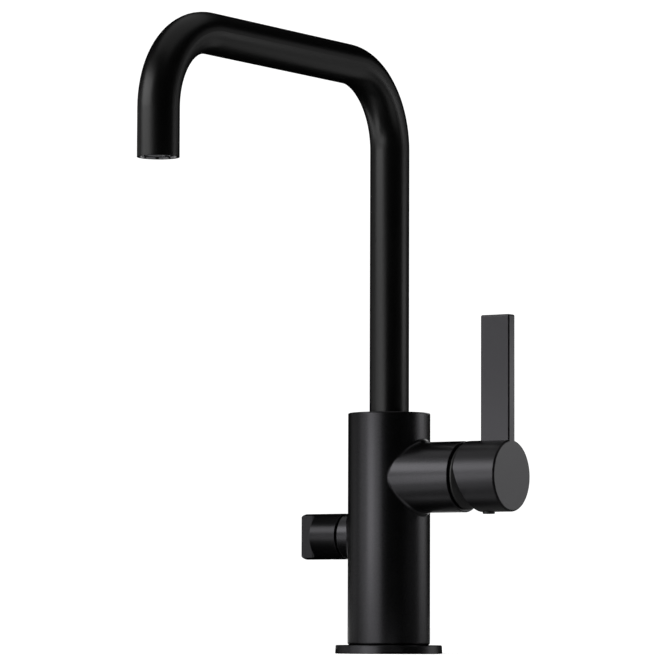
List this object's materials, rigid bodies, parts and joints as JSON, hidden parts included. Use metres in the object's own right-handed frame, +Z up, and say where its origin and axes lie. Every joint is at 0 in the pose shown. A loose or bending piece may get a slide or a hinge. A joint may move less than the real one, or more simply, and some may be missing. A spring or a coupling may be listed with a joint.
{
  "type": "kitchen mixer tap",
  "caption": "Deck-mounted kitchen mixer tap with a bent-tube swivel spout, a side lever on a ceramic cartridge and a dishwasher shut-off valve on a round column.",
  "frame": {"origin": "middle of the underside, on the column's axis, in the plane of the worktop", "axes": "+Z up along the column, spout towards -Y, lever on the +X side, valve knob on the -X side"},
  "size_m": [0.1473, 0.2845, 0.366],
  "materials": {
    "matte_black_coat": "matte",
    "black_plastic": "matte",
    "grey_plastic": "satin",
    "white_plastic": "satin",
    "seal_rubber": "matte",
    "turned_brass": "satin",
    "screw_steel": "satin",
    "disc_ceramic": "polished"
  },
  "bodies": {
    "column": {"base_rosette": "matte_black_coat", "base_gasket": "seal_rubber", "column_body": "matte_black_coat", "spout_bush": "black_plastic", "spout_stop_screw": "screw_steel", "cartridge_base": "white_plastic", "cartridge_seals": "seal_rubber", "cartridge_case": "white_plastic", "fixed_disc": "disc_ceramic", "cartridge_nut": "turned_brass", "trim_cap": "black_plastic", "valve_seal": "seal_rubber", "valve_fixed_disc": "disc_ceramic", "valve_sleeve": "turned_brass"},
    "spout": {"spout_tube": "matte_black_coat", "spout_socket": "turned_brass", "spout_o_rings": "seal_rubber", "outlet_sleeve": "matte_black_coat", "aerator_jacket": "grey_plastic", "aerator_core": "grey_plastic", "aerator_regulator": "grey_plastic", "aerator_washer": "seal_rubber"},
    "carrier": {"temperature_carrier": "white_plastic", "pivot_pin": "screw_steel"},
    "lever": {"lever_handle": "matte_black_coat", "lever_spindle": "turned_brass", "lever_grub_screw": "screw_steel", "lever_plug": "black_plastic"},
    "disc": {"disc_slider": "white_plastic", "moving_disc": "disc_ceramic"},
    "valve": {"valve_knob": "matte_black_coat", "valve_spindle": "turned_brass", "valve_moving_disc": "disc_ceramic", "valve_o_ring": "seal_rubber", "knob_grub_screw": "screw_steel"}
  },
  "joints": [
    {"name": "spout_swivel", "type": "hinge", "parent": "column", "child": "spout", "pos_m": [0, 0, 0.1455], "axis": [0, 0, 1], "range_deg": [-60, 60]},
    {"name": "lever_temperature", "type": "hinge", "parent": "column", "child": "carrier", "pos_m": [0.04445, 0, 0.106], "axis": [1, 0, 0], "range_deg": [-45, 45]},
    {"name": "lever_flow", "type": "hinge", "parent": "carrier", "child": "lever", "pos_m": [0.04445, 0, 0.106], "axis": [0, 1, 0], "range_deg": [0, 22]},
    {"name": "disc_slide", "type": "slide", "parent": "carrier", "child": "disc", "axis": [0, 0, 1], "range_m": [0, 0.00282]},
    {"name": "valve_turn", "type": "hinge", "parent": "column", "child": "valve", "pos_m": [-0.0307, 0, 0.071], "axis": [-1, 0, 0], "range_deg": [0, 90]}
  ],
  "couplings": [
    {"joint": "disc_slide", "follows": "lever_flow", "m_per_rad": 0.007317}
  ]
}
